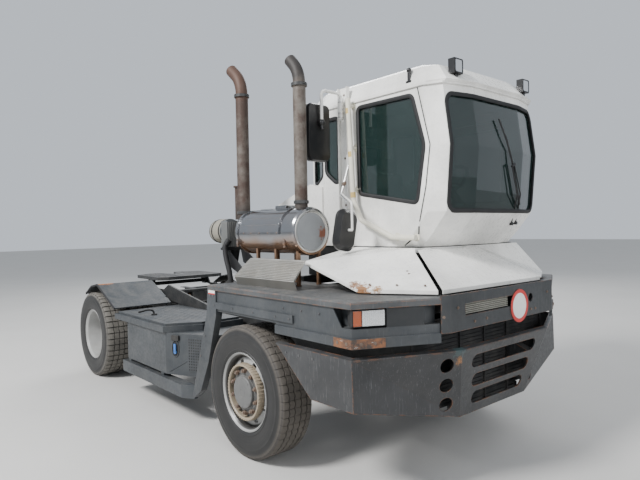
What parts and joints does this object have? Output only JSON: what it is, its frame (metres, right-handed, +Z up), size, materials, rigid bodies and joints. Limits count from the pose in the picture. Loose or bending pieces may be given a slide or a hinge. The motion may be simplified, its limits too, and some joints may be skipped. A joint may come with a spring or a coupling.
{
  "type": "terminal tractor",
  "caption": "Yard tractor with an offset tilting cab, side exhaust stacks, steered front axle, twin rear wheels and a lifting fifth wheel.",
  "frame": {"origin": "middle of the vehicle's outline, on the ground", "axes": "+X forward, +Y to the vehicle's left, +Z up"},
  "size_m": [5.68, 2.51, 3.2639],
  "materials": {
    "chassis": "satin black, dusty",
    "bumper_steel": "dark grey, scratched",
    "black_paint": "dark grey, satin",
    "deck_steel": "dark grey, worn, rust at the edges",
    "white_paint": "gloss, weathered",
    "cream_paint": "gloss, worn",
    "tyre": "matte, dusty",
    "rim_grey": "light grey, dirty",
    "engine": "matte",
    "fender_grey": "dark grey, dusty",
    "chrome": "dull bright metal",
    "rusty_pipe": "rusted",
    "beige_plastic": "matte",
    "aluminium": "dull",
    "glass": "clear",
    "seat_fabric": "woven, dark",
    "dark_plastic": "grained",
    "boom_steel": "dark grey, greasy",
    "lamp": "clear and amber lenses"
  },
  "bodies": {
    "chassis": {"chassis_frame": "chassis", "deck_carriers": "chassis", "front_bumper": "bumper_steel", "front_fascia": "black_paint", "deck_plate": "deck_steel", "side_beam_right": "fender_grey", "side_beam_left": "fender_grey", "front_axle_beam": "chassis", "front_springs": "chassis", "rear_axle": "chassis", "engine_block": "engine", "prop_shaft": "chassis", "right_platform": "fender_grey", "right_step_box": "fender_grey", "fuel_tank": "fender_grey", "left_steps": "chassis", "rear_fenders": "fender_grey", "muffler": "chrome", "exhaust_stacks": "rusty_pipe", "canister_and_box": "beige_plastic", "ribbed_guard": "aluminium", "road_lamps": "lamp"},
    "cab": {"cab_front_frame": "white_paint", "cab_right_panel": "white_paint", "cab_rear_frame": "white_paint", "cab_floor": "chassis", "cab_tub": "chassis", "tilt_arms": "chassis", "cab_roof": "white_paint", "windscreen": "glass", "rear_housing": "white_paint", "cab_side_windows": "glass", "cab_skirt": "white_paint", "driver_seat": "seat_fabric", "dashboard": "dark_plastic", "mirror_arms": "white_paint", "mirrors": "dark_plastic", "work_lamps": "dark_plastic", "grab_rail": "cream_paint"},
    "steering_wheel": {"steering_wheel": "dark_plastic"},
    "front_flap": {"front_flap": "white_paint"},
    "left_door": {"left_door": "white_paint", "left_door_glass": "glass"},
    "rear_door": {"rear_door": "white_paint", "rear_door_glass": "glass"},
    "knuckle_right": {"knuckle_right": "chassis"},
    "knuckle_left": {"knuckle_left": "chassis"},
    "tie_rod": {"tie_rod": "chassis"},
    "front_wheel_right": {"front_wheel_right": "rim_grey", "front_tyre_right": "tyre"},
    "front_wheel_left": {"front_wheel_left": "rim_grey", "front_tyre_left": "tyre"},
    "rear_wheels_right": {"rear_wheels_right": "rim_grey", "rear_tyres_right": "tyre"},
    "rear_wheels_left": {"rear_wheels_left": "rim_grey", "rear_tyres_left": "tyre"},
    "lift_boom": {"lift_boom": "boom_steel"},
    "fifth_wheel": {"fifth_wheel": "boom_steel"},
    "lift_barrels": {"lift_barrels": "boom_steel"},
    "lift_rams": {"lift_rams": "chrome"}
  },
  "joints": [
    {"name": "steer_right", "type": "hinge", "parent": "chassis", "child": "knuckle_right", "pos_m": [1.34, -0.9, 0.505], "axis": [0, 0, 1], "range_deg": [-35, 35]},
    {"name": "steer_left", "type": "hinge", "parent": "chassis", "child": "knuckle_left", "pos_m": [1.34, 0.9, 0.505], "axis": [0, 0, 1], "range_deg": [-35, 35]},
    {"name": "tie_rod_pivot", "type": "hinge", "parent": "knuckle_left", "child": "tie_rod", "pos_m": [1.135, 0.92, 0.389], "axis": [0, 0, 1], "range_deg": [-35, 35]},
    {"name": "steering_wheel_turn", "type": "hinge", "parent": "cab", "child": "steering_wheel", "pos_m": [2.03, 0.4, 2.1], "axis": [-0.6428, 0, 0.766], "range_deg": [-630, 630]},
    {"name": "front_wheel_right_roll", "type": "hinge", "parent": "knuckle_right", "child": "front_wheel_right", "pos_m": [1.34, -1.107, 0.505], "axis": [0, 1, 0], "continuous": true},
    {"name": "front_wheel_left_roll", "type": "hinge", "parent": "knuckle_left", "child": "front_wheel_left", "pos_m": [1.34, 1.107, 0.505], "axis": [0, 1, 0], "continuous": true},
    {"name": "rear_wheels_right_roll", "type": "hinge", "parent": "chassis", "child": "rear_wheels_right", "pos_m": [-2.02, -0.942, 0.505], "axis": [0, 1, 0], "continuous": true},
    {"name": "rear_wheels_left_roll", "type": "hinge", "parent": "chassis", "child": "rear_wheels_left", "pos_m": [-2.02, 0.942, 0.505], "axis": [0, 1, 0], "continuous": true},
    {"name": "cab_tilt", "type": "hinge", "parent": "chassis", "child": "cab", "pos_m": [2.772, 0, 1.26], "axis": [0, 1, 0], "range_deg": [0, 50]},
    {"name": "front_flap_hinge", "type": "hinge", "parent": "cab", "child": "front_flap", "pos_m": [2.335, 0, 1.568], "axis": [0, -1, 0], "range_deg": [0, 70]},
    {"name": "left_door_hinge", "type": "hinge", "parent": "cab", "child": "left_door", "pos_m": [2.2775, 1.042, 2.03], "axis": [0, 0, -1], "range_deg": [0, 80]},
    {"name": "rear_door_hinge", "type": "hinge", "parent": "cab", "child": "rear_door", "pos_m": [0.928, 0.8075, 2], "axis": [0, 0, -1], "range_deg": [0, 90]},
    {"name": "lift_boom_raise", "type": "hinge", "parent": "chassis", "child": "lift_boom", "pos_m": [-0.28, 0, 0.8], "axis": [0, 1, 0], "range_deg": [0, 13]},
    {"name": "fifth_wheel_pitch", "type": "hinge", "parent": "lift_boom", "child": "fifth_wheel", "pos_m": [-2.2, 0, 1.04], "axis": [0, 1, 0], "range_deg": [-10, 10]},
    {"name": "lift_barrel_swing", "type": "hinge", "parent": "chassis", "child": "lift_barrels", "pos_m": [-0.86, 0, 0.62], "axis": [0, 1, 0], "range_deg": [0, 19.56]},
    {"name": "lift_ram_stroke", "type": "slide", "parent": "lift_barrels", "child": "lift_rams", "axis": [-0.9053, 0, 0.4248], "range_m": [0, 0.1056]}
  ],
  "couplings": [
    {"joint": "steer_left", "follows": "steer_right", "ratio": 1},
    {"joint": "tie_rod_pivot", "follows": "steer_right", "ratio": -1},
    {"joint": "steering_wheel_turn", "follows": "steer_right", "ratio": 18},
    {"joint": "lift_barrel_swing", "follows": "lift_boom_raise", "ratio": 1.5039},
    {"joint": "lift_ram_stroke", "follows": "lift_boom_raise", "m_per_rad": 0.46497}
  ]
}
